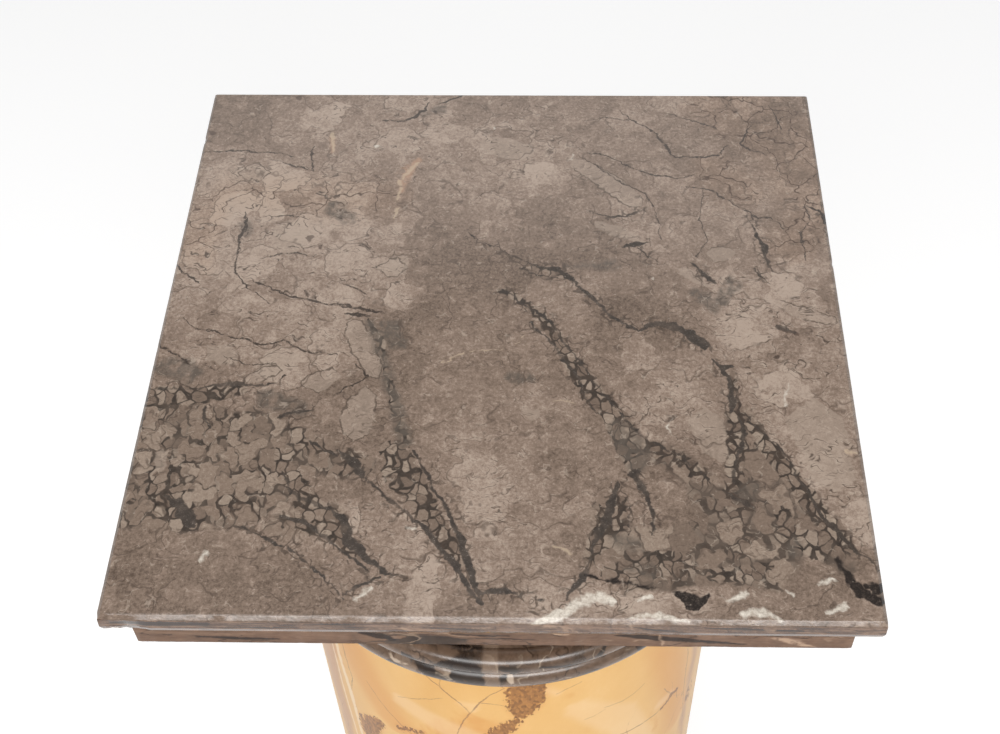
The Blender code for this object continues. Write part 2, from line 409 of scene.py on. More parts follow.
HAIRLINES = (
    (62, 154, 0.2, 69, 148, 0.4, 76, 142, 0.4, 83, 137, 0.5, 86, 130, 0.8, 89, 122, 0.9, 92, 116, 0.4),
    (92, 116, 0.4, 100, 117, 0.5, 108, 118, 0.7, 116, 120, 0.5, 121, 127, 0.4),
    (42, 146, 0.2, 55, 149, 0.3, 68, 148, 0.3),
    (39, 119, 0.2, 50, 108, 0.4, 58, 100, 0.4, 66, 95, 0.5, 74, 89, 0.4, 80, 76, 0.3, 82, 55, 0.2),
    (44, 121, 0.2, 56, 117, 0.4, 64, 111, 0.4, 80, 103, 0.6, 92, 101, 0.4, 103, 104, 0.2),
    (98, 94, 0.3, 109, 93, 0.6, 118, 85, 0.4, 127, 77, 0.4, 133, 72, 0.6, 141, 70, 0.4, 147, 63, 0.3),
    (42, 77, 0.2, 50, 74, 0.4, 57, 71, 0.3), (90, 152, 0.2, 100, 148, 0.4, 110, 143, 0.4, 117, 140, 0.3),
    (128, 128, 0.3, 132, 135, 0.9, 136, 143, 0.3), (128, 129, 0.5, 135, 123, 0.7, 141, 119, 0.3),
    (152, 140, 0.4, 151, 150, 0.5, 147, 160, 0.3),
    (-172, 119, 0.2, -160, 121, 0.3, -150, 121.5, 0.6, -138, 120, 0.5, -127, 119, 0.4, -117, 117, 0.2),
    (-130, 114, 0.2, -120, 110, 0.5, -112, 108, 0.6, -106, 105, 0.3),
    (-108, 125, 0.3, -107, 112, 0.8, -106, 104, 0.3),
    (-71, 146, 0.3, -62, 146, 0.6, -54, 149, 0.8, -49, 155, 0.8, -47, 162, 0.3),
    (-42, 160, 0.3, -33, 164, 0.7, -27, 168, 0.5, -20, 171, 0.3),
    (-128, 70, 0.2, -120, 71, 0.4, -113, 71.5, 0.5, -103, 68, 0.2),
    (-126, 40, 0.2, -118, 42, 0.5, -108, 43.5, 0.6, -98, 42, 0.2),
    (-139, 74, 0.3, -137, 63, 1.3, -139, 57, 1, -139, 42, 0.4, -137, 29, 0.5, -126, 17, 0.4,
     -119, 9, 0.2),
    (-131, 26, 0.2, -118, 20, 0.4, -108, 15, 0.6, -98, 12, 0.6, -88, 9, 0.7, -78, 8, 0.9, -62, 4, 0.8),
    (-79, 3, 0.4, -73, 2, 1.6, -66, 1, 1), (-80, 22, 0.2, -74, 19, 0.6, -69, 16, 0.3),
    (-172, 36, 0.4, -164, 30, 0.6, -155, 23, 0.4),
    (-160, -1, 0.3, -153, -7, 0.5, -140, -10, 0.5, -130, -14, 0.7, -120, -17, 0.7, -107, -15.5, 0.6),
    (-107, -15.5, 0.6, -104, -18, 0.5, -96, -21, 0.5, -80, -25, 0.3),
    (-134, -27, 0.2, -122, -31, 0.4, -109, -30, 0.2), (-172, -17, 0.6, -163, -22, 0.6, -152, -30, 0.3),
    (-70, -31, 0.3, -64, -37, 0.7, -70, -42, 0.5, -77, -48, 0.3),
    (106, 92, 0.2, 103, 70, 0.3, 107, 55, 0.3, 100, 43, 0.3),
    (158, 85, 0.3, 161, 70, 0.4, 155, 60, 0.5, 156, 40, 0.3),
)
CRUSHED = (
    (-175, -88, 36, -130, -92, 34, -104, -98, 24), (-118, -72, 16, -84, -84, 10, -60, -90, 7),
    (-96, -122, 9, -72, -118, 8),
    (116, -62, 7, 122, -84, 12, 124, -104, 18, 118, -126, 22, 100, -138, 20, 70, -136, 16),
    (68, -78, 5, 80, -84, 6, 92, -94, 6, 98, -110, 10), (50, -112, 8, 54, -130, 10),
    (138, -118, 8, 156, -142, 5),
)
BANDS = (
    (9, 34.5, 0.8, 20, 34, 1.6, 30, 30, 1.8, 36, 27, 0.8),
    (-2, 19, 1.2, 8, 14, 2.3, 14, 8, 2.5, 20, 2, 2.8, 24, -6, 3.2, 29, -15, 3.8, 35, -28, 4.6),
    (35, -28, 4.6, 42, -41, 5.6, 49, -52, 6.2, 55, -62, 7, 60, -73, 7.4, 64, -86, 5, 66, -96, 2),
    (-50, -80, 6, -44, -92, 8, -36, -105, 7, -28, -117, 5.4, -21, -129, 4.4, -14, -142, 2.6),
    (-101, -82, 3, -94, -97, 5, -87, -107, 6, -78, -117, 5.5, -69, -127, 5, -58, -138, 2.6),
    (113, -34, 1.6, 112, -46, 2.4, 114, -58, 3.4, 112, -72, 4.2, 110, -88, 4.4, 109, -102, 4),
    (119, -64, 2, 126, -78, 3.6, 134, -92, 5, 142, -106, 5.4, 149, -119, 5.4, 159, -133, 3.4),
    (68, -76, 2.4, 79, -82, 3.6, 89, -88, 3.6, 96, -98, 3),
    (-172, -49, 4, -155, -50, 5.5, -138, -49, 4.5, -122, -46, 2.6),
    (-156, -100, 6, -146, -112, 9, -134, -122, 5), (42, -140, 4, 52, -122, 6, 58, -108, 3),
    (50, -146, 3.5, 66, -142, 7, 84, -140, 5), (96, -146, 4, 110, -146, 4, 122, -142, 2),
    (128, -112, 3, 132, -124, 5, 144, -134, 6),
    (-66, -2, 1.2, -60, -14, 2.2, -56, -28, 1.2, -52, -46, 1.8, -47, -64, 2.5, -43, -80, 3),
)
LUMPS = (
    (-74, -6, 5, -68, -18, 6, -61, -34, 4.6), (-65, -49, 6, -66, -60, 8.5, -67, -71, 6.5),
    (-93, -41, 3.8, -86, -41, 6.6, -81, -37, 4), (-102, -27, 3.6, -100, -27, 3.6),
    (-122, -39, 2.8, -115, -37, 4.4, -109, -34, 2.8), (37, 113, 4, 57, 96, 6.5, 70, 82, 4.5),
    (-140, 104, 7, -136, 104, 7), (-59, 34, 7, -55, 34, 7), (109, 45, 4.6, 117, 45, 4.6),
    (139, 12, 2.2, 151, 4, 4.2, 165, 0, 3),
)
NETTED = (
    (125, 165, 25, 160, 120, 25, 165, 80, 16, 150, 50, 12), (110, 110, 12, 130, 90, 12),
    (-160, 55, 14, -150, 90, 10, -100, 85, 14, -60, 85, 12),
)
HAZES = (
    (-66, -2, 3, -61, -14, 4, -56, -28, 3, -52, -46, 4, -46, -64, 4, -43, -78, 4),
    (-56, -6, 7, -50, -16, 6), (-92, 78, 6, -83, 68, 5), (4, -37, 3, 15, -37, 4),
    (-50, 150, 1, -38, 156, 4), (-137, 64, 4, -136, 58, 3), (97, 17, 4, 108, 10, 6, 116, 23, 5),
    (30, 36, 1, 45, 36, 2, 58, 37, 4), (57, -66, 6, 64, -80, 8, 65, -90, 5), (112, -106, 6, 118, -100, 4),
    (-112, -50, 6, -95, -58, 5), (-150, -35, 8, -165, -32, 6), (134, -128, 3, 132, -136, 3),
    (54, -127, 3, 64, -132, 4), (60, -143, 3, 70, -144, 4),
)
PALES = (
    (50, 66, 3, 60, 60, 4.5, 72, 53, 1.5), (91, 33, 2.5, 98, 28, 3.5, 106, 22, 1.5),
    (-113, 62, 9, -112, 48, 9), (-156, -83, 3, -156, -92, 3), (98, -62, 8, 104, -80, 8),
    (-10, 128, 7, 8, 120, 8), (-110, -25, 6, -112, -36, 7), (-140, -22, 7, -132, -28, 4),
    (-55, 38, 6, -52, 32, 4), (12, -56, 2, 18, -60, 3), (150, -60, 14, 155, -95, 10),
)
CALCITES = (
    (18, -172, 1.6, 24, -168, 3, 31, -165.5, 3.2, 38, -161, 2.4, 46, -158, 2.4, 53, -159, 1.4),
    (63, -160, 0.8, 70, -157, 1.3), (102, -159, 1, 110, -156, 1.6),
    (108, -166, 1.4, 118, -164, 1.6, 124, -168, 1), (145, -164, 1.2, 153, -161, 1.4),
    (142, -151, 1, 148, -148, 1.2), (128, -153, 0.6, 131, -156, 0.8), (-129, -141, 1.2, -126, -138, 0.9),
    (-58, -159, 1.6, -53, -154, 1), (-39, -123, 0.6, -36, -123, 0.6),
    (32, 114, 0.3, 35, 116, 0.5, 37, 119.5, 0.2), (-8, 140, 0.7, -8, 139.5, 0.7),
    (-60, 22, 0.5, -60, 21.5, 0.5), (-73, 125.5, 0.9, -71.5, 125.5, 0.7), (77, 28.5, 0.4, 77, 27.5, 0.5),
    (139, -41, 0.5, 139, -47, 0.7, 137, -53, 0.3), (83, -61, 0.3, 81, -66, 0.8, 81, -71, 0.3),
    (60, -168, 1, 72, -167, 1.6, 84, -169, 1.4),
)
LIGHT_AREAS = (
    (-175, 60, 55, -110, 60, 60, -70, 20, 30), (-100, 150, 20, -40, 130, 30, 20, 120, 30),
    (118, 20, 20, 140, -30, 32, 166, -100, 20), (150, 30, 16, 172, -60, 26, 178, -120, 16),
    (-130, 0, 36, -96, -24, 28), (-16, -70, 6, 0, -120, 10), (60, -60, 6, 90, -50, 24),
    (-60, -120, 6, -40, -140, 14, -20, -160, 10), (20, -158, 8, 90, -167, 8),
)
DARK_AREAS = (
    (-60, -10, 16, -20, 30, 26, 40, 50, 30), (-175, -150, 22, -120, -160, 12, -60, -165, 6),
    (60, 20, 26, 90, 0, 20), (-80, -60, 26, -50, -50, 20), (90, -130, 30, 150, -150, 16),
    (-172, 150, 16, -120, 158, 10), (150, 150, 24, 168, 110, 14),
)
RUSTS = (
    (-50, 116, 3, -55, 104, 4.5, -57, 90, 2.5), (-98, 131, 2.4, -97.5, 121, 2),
    (163, -79, 1.6, 165, -81, 1.6),
)
SPOTS = (
    (-166.7, 135, 2), (-121, 165, 2), (-103.5, 55, 1.8, -101.5, 55, 1.8), (-96, 48, 1.3), (135, 5, 1.3),
    (131, -52.5, 0.9), (162, -75, 0.9), (138, -5, 0.8, 143, -7, 1.8, 147, -10, 0.8),
    (107, -103, 1.4, 112, -107, 2.2, 117, -111, 1),
)
SHELLS = (((-145, 104), 3.2, 11.0), ((86, -82), 2.6, 21.0))
CREAMS = (
    (-28, -28, 1, -15, -21, 0.5, 0, -20, 0.3, 8, -16, 0.3, 12, -10, 0.2),
    (-57, 77, 0.9, -58, 71, 0.6, -63, 66, 1.2), (-98, 136, 1.2, -97, 122, 0.8),
    (-50, 112, 1, -58, 98, 1, -58, 82, 0.6), (27, -132, 0.5, 34, -135.5, 0.7),
    (24, -52, 0.3, 30, -50, 0.3, 37, -52, 0.3), (163, -79, 1.5, 166, -80, 1),
)

SIENA = (
    (0.0, display(206, 144, 74)),
    (0.35, display(220, 170, 98)),
    (0.65, display(228, 182, 114)),
    (1.0, display(236, 200, 144)),
)
SHAFT_HAIRS = (
    (-45, -149, 0.2, -39, -158, 0.4, -34, -164, 0.5, -28, -173, 0.5, -23, -178, 0.5, -19, -188, 0.4),
    (-33, -151, 0.2, -34, -158, 0.3, -34.5, -164, 0.3),
    (-29, -228, 0.2, -25, -207, 0.4, -20, -192, 0.5, -13, -175, 0.5, -8, -165, 0.4, 1, -155, 0.3),
    (-62, -197.5, 0.2, -52, -190, 0.3, -42, -183, 0.3, -34, -177, 0.2),
    (-13, -174, 0.4, -7, -174, 0.3, 1, -176, 0.2),
    (56, -246, 0.2, 73, -254, 0.5, 84, -258, 0.6, 99, -262, 0.4, 117, -260, 0.2),
    (58, -204, 0.2, 69, -208, 0.3, 78, -207, 0.3, 85, -204, 0.2),
    (46, -210, 0.2, 52, -209.5, 0.3, 58, -207, 0.2), (29, -167.5, 0.2, 36, -164, 0.3, 43, -161, 0.2),
    (-104, -176, 0.3, -102.5, -205, 0.5, -101, -222, 0.4, -105, -243, 0.2),
    (-86, -205, 0.2, -76, -222, 0.4, -64, -236, 0.4, -50, -246, 0.2),
    (122, -190, 0.2, 128, -230, 0.4, 130, -280, 0.3, 136, -330, 0.2),
    (104, -236, 0.2, 110, -252, 0.4, 119, -262, 0.4, 121, -276, 0.2),
)
SHAFT_BROWNS = (
    (12.5, -149, 10.5, 12.5, -160, 10.5, 12.5, -170, 10, 11.5, -180, 8.5, 9.5, -190, 3.5),
    (8, -193, 2, 3, -201, 4.5, -3, -210, 5.5, -9, -220, 4),
    (-82, -252, 3, -88, -262, 6.5, -93, -276, 8, -98, -292, 6),
    (-66, -242, 2, -56, -235, 1.5, -47, -230, 0.6), (104, -262, 1.2, 112, -258, 1.6, 120, -262, 0.8),
)
SHAFT_ORANGES = (
    (-98, -150, 12, -90, -190, 15, -80, -214, 14, -68, -240, 12),
    (94, -150, 8, 106, -200, 12, 116, -250, 12, 124, -310, 10),
)
# Pinkish strips just inside both outlines of the shaft: painted reflection, not a colour of the stone.
SHAFT_PAINTED_REFLECTIONS = (
    (-136, -120, 10, -134, -200, 14, -131, -250, 13, -126, -310, 9, -128, -380, 5, -118, -450, 1),
    (141, -120, 4, 140, -240, 6, 137, -330, 6, 143, -400, 3, 139, -470, 0.5),
)
# A pale cream line inside the left outline of the shaft: painted highlight, not a vein of the stone.
SHAFT_PAINTED_HIGHLIGHTS = (
    (-112, -150, 0.6, -111, -212, 2, -107, -250, 2.2, -105, -302, 1.6, -99, -352, 0.8, -101, -420, 0.2),
    (-119, -160, 0.4, -117, -260, 1, -113, -310, 0.8, -104, -380, 0.3),
)
SHAFT_PALES = (
    (-24, -177, 1, -17, -179, 4, -17, -184, 2.5), (22, -160, 3, 30, -168, 2),
    (100, -252, 4, 112, -256, 4), (-60, -200, 8, -30, -215, 10, 0, -235, 10),
    (40, -190, 8, 70, -230, 12, 90, -300, 10),
)
RING_DARKS = (
    (-70, -144, 3, -62, -142, 4.5, -54, -136, 4), (-28, -122, 6, -18, -121, 8, -9, -122, 5),
    (-56, -146, 1, -48, -140, 3, -38, -143, 2), (-47, -120, 3, -38, -128, 5, -34, -134, 3),
    (-12, -136, 1.5, -4, -140, 1.5), (70, -130, 1.5, 75, -138, 2.5),
    (20, -118, 1, 36, -122, 1.4, 52, -128, 1), (14, -136, 0.8, 30, -137, 1.2, 48, -134, 0.8),
)
RING_PALES = (
    (-5, -100, 4, -5, -120, 4, -3, -142, 3.5), (-52, -128, 3, -44, -134, 3), (-86, -140, 3, -78, -138, 3),
)
RING_WHITES = (
    (3, -125, 0.8, 4.5, -130, 1.6, 6, -135, 0.8), (-60, -128, 0.4, -54, -132, 1.2, -47, -131, 0.5),
)
BLOCK_DARKS = (
    (-44, -27.5, 1, -39, -30, 2.4, -34, -34, 1.2), (-14, -28, 0.4, -4, -29.4, 0.9, 6, -29.8, 0.4),
    (-6, -32, 0.4, 4, -32.6, 0.8, 15, -33, 0.3), (42, -28, 1, 52, -30, 2.4, 62, -32, 1.8, 76, -35, 0.8),
    (118, -30, 1.6, 126, -33, 2.6), (-86, -33, 0.6, -76, -34, 1.6, -68, -34, 0.6),
    (-122, -30, 0.8, -112, -31, 1.8, -104, -31, 0.6),
)
BLOCK_PALES = (
    (-100, -28, 1, -88, -30, 1.2, -74, -30, 0.8),
)
BLOCK_WHITES = (
    (20, -26, 0.5, 23, -28, 1, 26, -28, 0.4), (83, -29, 0.8, 87, -33, 1.8, 90, -36, 1),
    (54, -25, 0.3, 55, -37, 0.4),
)
FACE_DARKS = (
    (-164, -4.6, 1, -150, -4.4, 2, -136, -4.6, 1.6, -122, -4.4, 1.4),
    (-112, -7, 0.3, -96, -7.4, 0.7, -84, -6.6, 0.3), (-80, -4, 0.3, -66, -3.6, 0.8, -58, -3.8, 0.3),
    (-30, -6.4, 0.2, -12, -6.8, 0.6, 2, -6.6, 0.2), (58, -3, 0.3, 70, -6, 0.8, 84, -8, 0.3),
    (92, -4, 0.3, 108, -4.6, 0.9, 134, -6, 0.8),
)
FACE_PALES = (
    (-56, -4, 0.6, -53, -7, 1.2, -50, -9.5, 0.6), (-41, -4.5, 0.8, -37, -7.5, 1.4, -33, -9, 0.6),
    (24, -3, 1.2, 31, -5, 2, 37, -8.5, 1.2), (60, -2, 0.8, 62, -9, 0.5), (116, -5, 0.5, 122, -5.5, 0.9),
    (-8, -6, 0.4, 0, -5.5, 0.8),
)

HOST = (
    (0.0, display(80, 66, 56)),
    (0.3, display(106, 90, 78)),
    (0.6, display(128, 110, 97)),
    (1.0, display(158, 141, 127)),
)
MATRIX = (
    (0.0, display(34, 28, 24)),
    (0.5, display(60, 51, 44)),
    (1.0, display(88, 77, 68)),
)
CLAST = (
    (0.0, display(88, 74, 64)),
    (0.5, display(120, 103, 90)),
    (1.0, display(154, 138, 123)),
)


def slab_marble():
    """The top slab: brown breccia with its veins where the real ones run."""
    stone = Stone("breccia_top_slab", "2D")
    here = stone.here
    sunk = stone.height()
    flat = stone.vector("ADD", here, stone.vector("SCALE", (0.5, 1.1, 0.0), scale=sunk))
    flat = stone.vector("MULTIPLY_ADD", flat, (1.0, 1.0, 0.0), (0.0, 0.0, 1.0))
    push = stone.vector("SUBTRACT", stone.noise(flat, 14.0, 2.0, 0.6, "Color"), (0.5, 0.5, 0.5))
    bent = stone.vector("MULTIPLY_ADD", push, (5.0, 5.0, 0.0), flat)
    folded = stone.vector("MULTIPLY_ADD", push, (17.0, 13.0, 0.0), flat)
    torn = stone.warp(bent, 3.2, 2.4, 2.0, 0.0)
    smooth = stone.warp(bent, 6.0, 3.5, 1.0, 0.0)
    patchy = stone.noise(flat, 17.0, 2.0)
    ragged = stone.noise(flat, 5.0, 2.0)
    notched = (ragged - 0.5) * 2.2
    grain = stone.noise(flat, 1.7, 2.0, 0.8)

    # Host rock: pale rounded lumps in a darker, gritty ground
    light = stone.step(stone.routes(bent, LIGHT_AREAS), 25.0, -25.0)
    dark = stone.step(stone.routes(bent, DARK_AREAS), 25.0, -15.0)
    lumps = stone.cells(folded, 24.0, "F1")
    lump = stone.step(lumps, 0.62, 0.46) * (stone.chance(lumps) * 0.46 - 0.15) * (light * 0.6 + 0.6)
    pips = stone.cells(smooth, 8.0, "F1")
    pip = stone.step(pips, 0.6, 0.2) * (stone.chance(pips) - 0.45) * 0.3
    tone = lump + pip + grain * 0.95 + ragged * 0.42 + patchy * 0.3 - 0.33
    host = stone.ramp(tone + light * 0.21 - dark * 0.14, HOST)

    # Crushed zones: clasts with narrow gaps, and bands of dark ground with pebbles
    crushed = stone.step(stone.routes(smooth, CRUSHED) + notched, 2.5, -2.5)
    tall = stone.vector("MULTIPLY", smooth, (1.0, 0.8, 1.0))
    uneven = stone.vector("MULTIPLY_ADD", push, (9.0, 8.0, 0.0), tall)
    rightward = stone.step(stone.axis(here, (1.0, 0.0, 0.0)), 10.0, 60.0)
    uneven = stone.vector("SCALE", uneven, scale=1.0 - rightward * 0.34)
    clasts = stone.cells(uneven, 9.0, "F1")
    clast_chance = stone.chance(clasts)
    edge = stone.cells(uneven, 9.0) * 9.0 - stone.step(clasts, 0.45, 0.9) * 1.2
    pebbles = stone.cells(tall, 5.0, "F1")
    pebble_chance = stone.chance(pebbles)
    pebble_edge = stone.cells(tall, 5.0) * 5.0 - stone.step(pebbles, 0.4, 0.9) * 0.9
    gap = (patchy - 0.36) * 3.4 + clast_chance * clast_chance * 2.4 + (ragged - 0.5) * 1.6
    large = stone.step(edge - gap, -0.3, 0.35)
    pebble = stone.step(pebble_edge - pebble_chance * pebble_chance * 1.2 - 0.1, -0.35, 0.3)
    matrix = stone.ramp(ragged * 0.9 + grain * 0.5 - 0.2, MATRIX)
    pebble_tone = stone.ramp(pebble_chance.math("FRACT", pebble_chance * 7.0) * 0.6 + grain * 0.5, CLAST)
    ground = stone.mix(pebble * 0.92, matrix, pebble_tone)
    gaps = stone.mix(stone.step(patchy, 0.62, 0.4) * 0.55 + rightward * 0.2, ground, display(92, 79, 69))
    broken = stone.ramp(clast_chance.math("FRACT", clast_chance * 5.0) * 0.5 + grain * 0.6 - 0.05, CLAST)
    stone.colour = stone.mix(crushed, host, stone.mix(large, gaps, broken))
    pale = stone.step(stone.routes(torn, PALES), 0.5, -0.8)
    stone.paint(pale * 0.5, display(152, 136, 122))
    lobes = stone.routes(torn, LUMPS) + notched * 0.6
    stone.paint(stone.step(lobes, 0.3, -0.3) * 0.4, display(154, 138, 124))
    outline = stone.step(lobes, 0.7, 0.1) * stone.step(lobes, -0.9, -0.3) * stone.step(patchy, 0.36, 0.5)
    stone.paint(outline * 0.75, display(70, 58, 49))
    bands = stone.step(stone.routes(torn, BANDS) + notched, 0.6, -0.6)
    stone.paint(bands, ground)
    haze = stone.step(stone.routes(bent, HAZES), 2.0, -2.5) * stone.step(ragged, 0.2, 0.55)
    stone.paint(haze * (0.9 - pebble * 0.25), display(84, 75, 67))

    # Fine lines everywhere, closer together at the back right
    netted = stone.step(stone.routes(bent, NETTED), 14.0, -12.0)
    rim = stone.threads(lumps - 0.05, 0.035) * stone.step(patchy + light * 0.08, 0.42, 0.58)
    stone.paint(rim * 0.6, display(72, 59, 50))
    net = stone.step(stone.cells(folded, 17.0) * 17.0, 0.7, 0.0)
    shown_net = net * stone.step(ragged + netted * 0.16, 0.46, 0.6) * (netted * 0.8 + 0.15)
    stone.paint(shown_net, display(60, 43, 33))
    stone.paint(netted * 0.5, display(255, 246, 236), "MULTIPLY")
    for centre, pitch, reach in SHELLS:
        away = stone.vector("DISTANCE", bent, Vector((*centre, 1.0)), output="Value")
        rings = away.math("SINE", away * (2 * math.pi / pitch)) * 0.5 + 0.5
        shown = stone.step(away, reach, reach * 0.7) * stone.step(patchy, 0.34, 0.5)
        stone.paint(rings * shown * 0.22, display(86, 70, 60))
    spots = stone.step(stone.routes(torn, SPOTS) + notched * 0.6, 0.4, -0.5)
    stone.paint(spots * 0.7, display(66, 51, 42))
    stretched = stone.vector("MULTIPLY", folded, (0.3, 1.0, 1.0))
    drift = stone.noise(stretched, 15.0, 3.0, 0.6)
    thread = stone.threads(drift, 0.013) * stone.step(ragged, 0.36, 0.56)
    stone.paint(thread * (light * 0.35 + 0.55), display(62, 50, 42))
    second = stone.threads(drift - 0.09, 0.012) * stone.step(ragged, 0.44, 0.58)
    stone.paint(second * 0.5, display(72, 58, 49))
    third = stone.threads(drift + 0.08, 0.011) * stone.step(patchy, 0.4, 0.54)
    stone.paint(third * 0.55, display(66, 53, 45))
    wisp = stone.threads(stone.noise(torn, 12.0, 2.0, 0.5), 0.02) * stone.step(ragged, 0.5, 0.62)
    stone.paint(wisp * 0.4, display(170, 155, 140))

    hair = stone.step(stone.routes(torn, HAIRLINES), 0.3, -0.3) * stone.step(grain + ragged, 0.7, 0.95)
    stone.paint(hair * 0.9, display(48, 39, 33))
    cracks = stone.routes(torn, CRACKS)
    splinter = stone.step(pebble_edge, 0.5, 0.1) * stone.step(cracks, 6.0, 1.5)
    stone.paint(splinter * stone.step(ragged, 0.42, 0.56) * 0.7, display(62, 51, 43))
    crack = stone.step(cracks + notched, 0.2, -0.7) * (stone.step(patchy, 0.3, 0.5) * 0.3 + 0.7)
    stone.paint(crack, matrix)
    black = stone.step(stone.routes(torn, BLACKS) + notched * 1.4, 0.6, -0.9)
    stone.paint(black * (1.2 - grain * 0.45), display(34, 27, 23))

    rust = stone.step(stone.routes(torn, RUSTS), 0.8, -3.0) * stone.step(ragged, 0.32, 0.6)
    stone.paint(rust * 0.75, display(154, 123, 101))

    cream = stone.step(stone.routes(torn, CREAMS), 0.5, -0.6) * stone.step(ragged, 0.38, 0.55)
    stone.paint(cream * 0.7, display(172, 153, 131))
    milky = grain * 1.1 + patchy * 0.5 - 0.08
    white = stone.step(stone.routes(torn, CALCITES) + notched * 1.3, 0.8, -1.4) * milky
    stone.paint(stone.step(grain, 0.72, 0.82) * 0.5, display(176, 164, 150))
    stone.paint(white, display(208, 200, 187))

    # The front face has its own marks, given by x and by the depth below the top
    across = stone.axis(here, (1.0, 0.0, 0.0)) + notched
    front = stone.place(across, sunk + (grain - 0.5) * 2.0)
    side = stone.step(sunk, -1.9, -2.3)
    facing = side * stone.step(stone.axis(here, (0.0, 1.0, 0.0)), -160.0, -166.0)
    layers = stone.place(stone.axis(here, (0.06, 0.07, 0.0)), sunk * 0.5, 0.0)
    streaks = stone.noise(layers, 1.0, 2.0, 0.6)
    stone.paint(side * stone.step(streaks, 0.5, 0.66) * 0.6, display(64, 46, 35))
    stone.paint(side * stone.step(streaks, 0.44, 0.34) * 0.5, display(170, 150, 132))
    dark_marks = stone.step(stone.routes(front, FACE_DARKS), 0.5, -0.6) * facing
    stone.paint(dark_marks * 0.9, display(50, 34, 24))
    pale_marks = stone.step(stone.routes(front, FACE_PALES), 0.6, -0.8) * facing
    stone.paint(pale_marks * stone.step(ragged, 0.34, 0.56) * 0.6, display(196, 180, 162))
    # The side faces are painted darker and warmer than the top of the same stone: painted shade.
    stone.paint(side, display(211, 187, 169), "MULTIPLY")

    return stone.finish(crack * 0.1 + grain * 0.12 + 0.1, grain, 0.02 * MM, 0.45)


def plain_breccia(name, offset, darkness, stretch, tint, gloss, darks=(), pales=(), whites=()):
    """Breccia of the other stones, cut from another place in the block.

    The marks of the front are given by the distance round the stone and by the height below the top.
    """
    stone = Stone(name)
    here = stone.vector("ADD", stone.here, offset)
    bent = stone.warp(here, 16.0, 7.0, 3.0)
    torn = stone.warp(bent, 4.0, 2.6, 2.0)
    drawn = stone.vector("MULTIPLY", torn, stretch)
    long_here = stone.vector("MULTIPLY", here, stretch)
    zone = stone.step(stone.noise(long_here, 48.0, 2.0), 0.52 - darkness, 0.6 - darkness)
    patchy = stone.noise(here, 17.0, 2.0)
    ragged = stone.noise(here, 5.0, 2.0)
    cells = stone.cells(drawn, 9.0, "F1")
    chance = stone.chance(cells)
    edge = stone.cells(drawn, 9.0) * 9.0 - stone.step(cells, 0.45, 0.9)
    gap = (patchy - 0.4) * 3.4 + chance * chance * 1.8 + (ragged - 0.5) * 1.2 + darkness * 4.0
    gaps = stone.step(edge - gap, 0.35, -0.3) * zone
    clouds = stone.noise(stone.vector("MULTIPLY", bent, stretch), 30.0, 3.0, 0.6)
    grain = stone.noise(long_here, 2.4, 3.0, 0.7)
    tone = clouds * 1.1 + grain * 0.7 + ragged * 0.5 - 0.72 - darkness
    host = stone.ramp(tone, HOST)
    broken = stone.ramp(chance.math("FRACT", chance * 5.0) * 0.55 + grain * 0.6 - 0.1 - darkness, CLAST)
    stone.colour = stone.mix(zone, host, broken)
    thread = stone.threads(stone.noise(drawn, 24.0, 3.0, 0.55), 0.018) * stone.step(ragged, 0.36, 0.55)
    stone.paint(thread * 0.8, display(58, 46, 38))
    matrix = stone.ramp(stone.noise(here, 7.0, 3.0, 0.6) - darkness * 2.0, MATRIX)
    stone.paint(gaps, matrix)
    veil = stone.threads(stone.noise(drawn, 31.0, 2.0, 0.6), 0.012) * stone.step(patchy, 0.5, 0.6)
    stone.paint(veil * 0.55, display(184, 174, 160))

    height = stone.height()
    front = stone.warp(stone.place(stone.around(), height), 3.5, 3.0, 3.0, 0.0)
    if darks:
        dark = stone.step(stone.routes(front, darks), 0.6, -0.8)
        stone.paint(dark * 0.9, display(38, 27, 21))
    if pales:
        pale = stone.step(stone.routes(front, pales), 0.8, -1.0)
        stone.paint(pale * 0.6, display(150, 134, 120))
    if whites:
        white = stone.step(stone.routes(front, whites), 0.5, -0.7)
        stone.paint(white * stone.step(ragged, 0.3, 0.5) * 0.8, display(208, 196, 182))
    stone.paint(1.0, tint, "MULTIPLY")
    rough = gaps * 0.06 + grain * 0.14 + 0.17
    return stone.finish(rough, grain, 0.02 * MM, gloss)


